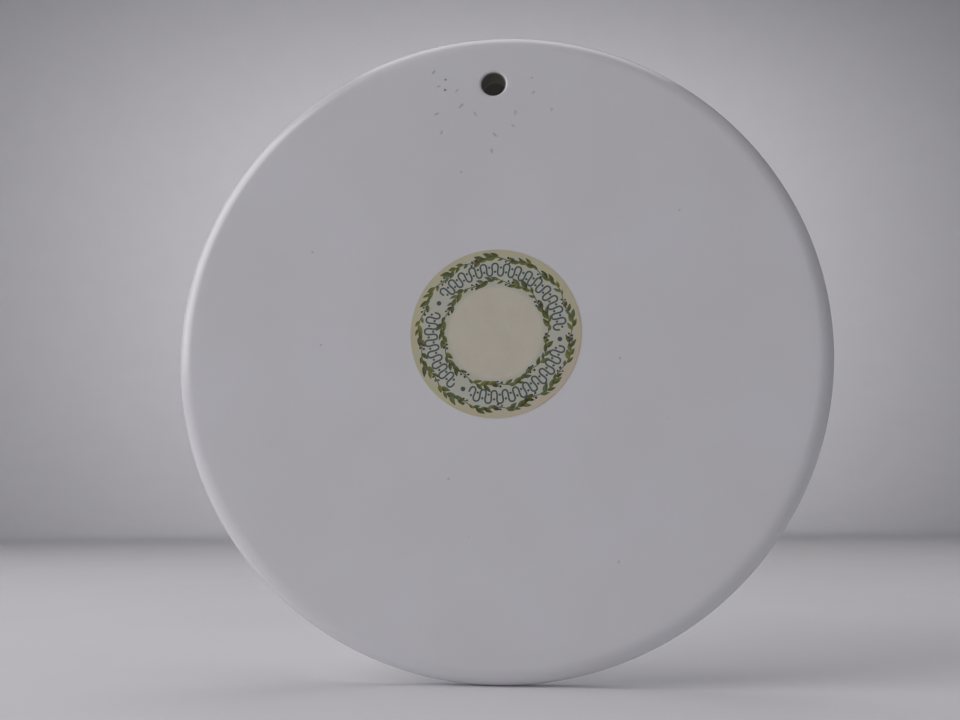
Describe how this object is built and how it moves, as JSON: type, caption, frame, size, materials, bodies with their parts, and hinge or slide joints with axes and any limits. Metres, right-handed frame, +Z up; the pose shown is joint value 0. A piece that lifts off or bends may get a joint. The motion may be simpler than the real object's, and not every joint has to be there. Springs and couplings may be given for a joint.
{
  "type": "ceramic wall plate",
  "caption": "Flat round glazed ceramic souvenir plate with a rounded rim, a hanging hole near the edge and a round paper label on its back.",
  "frame": {"origin": "on the hanging hole's axis, at the plane of the back face", "axes": "+Z up as the plate hangs, from the plate's centre through the hole; -Y is the back face's outward normal, towards the wall; +Y is the front face's; +X completes the right-handed frame"},
  "size_m": [0.22, 0.0095, 0.22],
  "materials": {
    "white_glaze": "glossy white glaze over stoneware",
    "cream_paper": "matte printed paper, aged at its edge"
  },
  "bodies": {
    "root": {"plate_body": "white_glaze", "back_label": "cream_paper"}
  },
  "joints": []
}
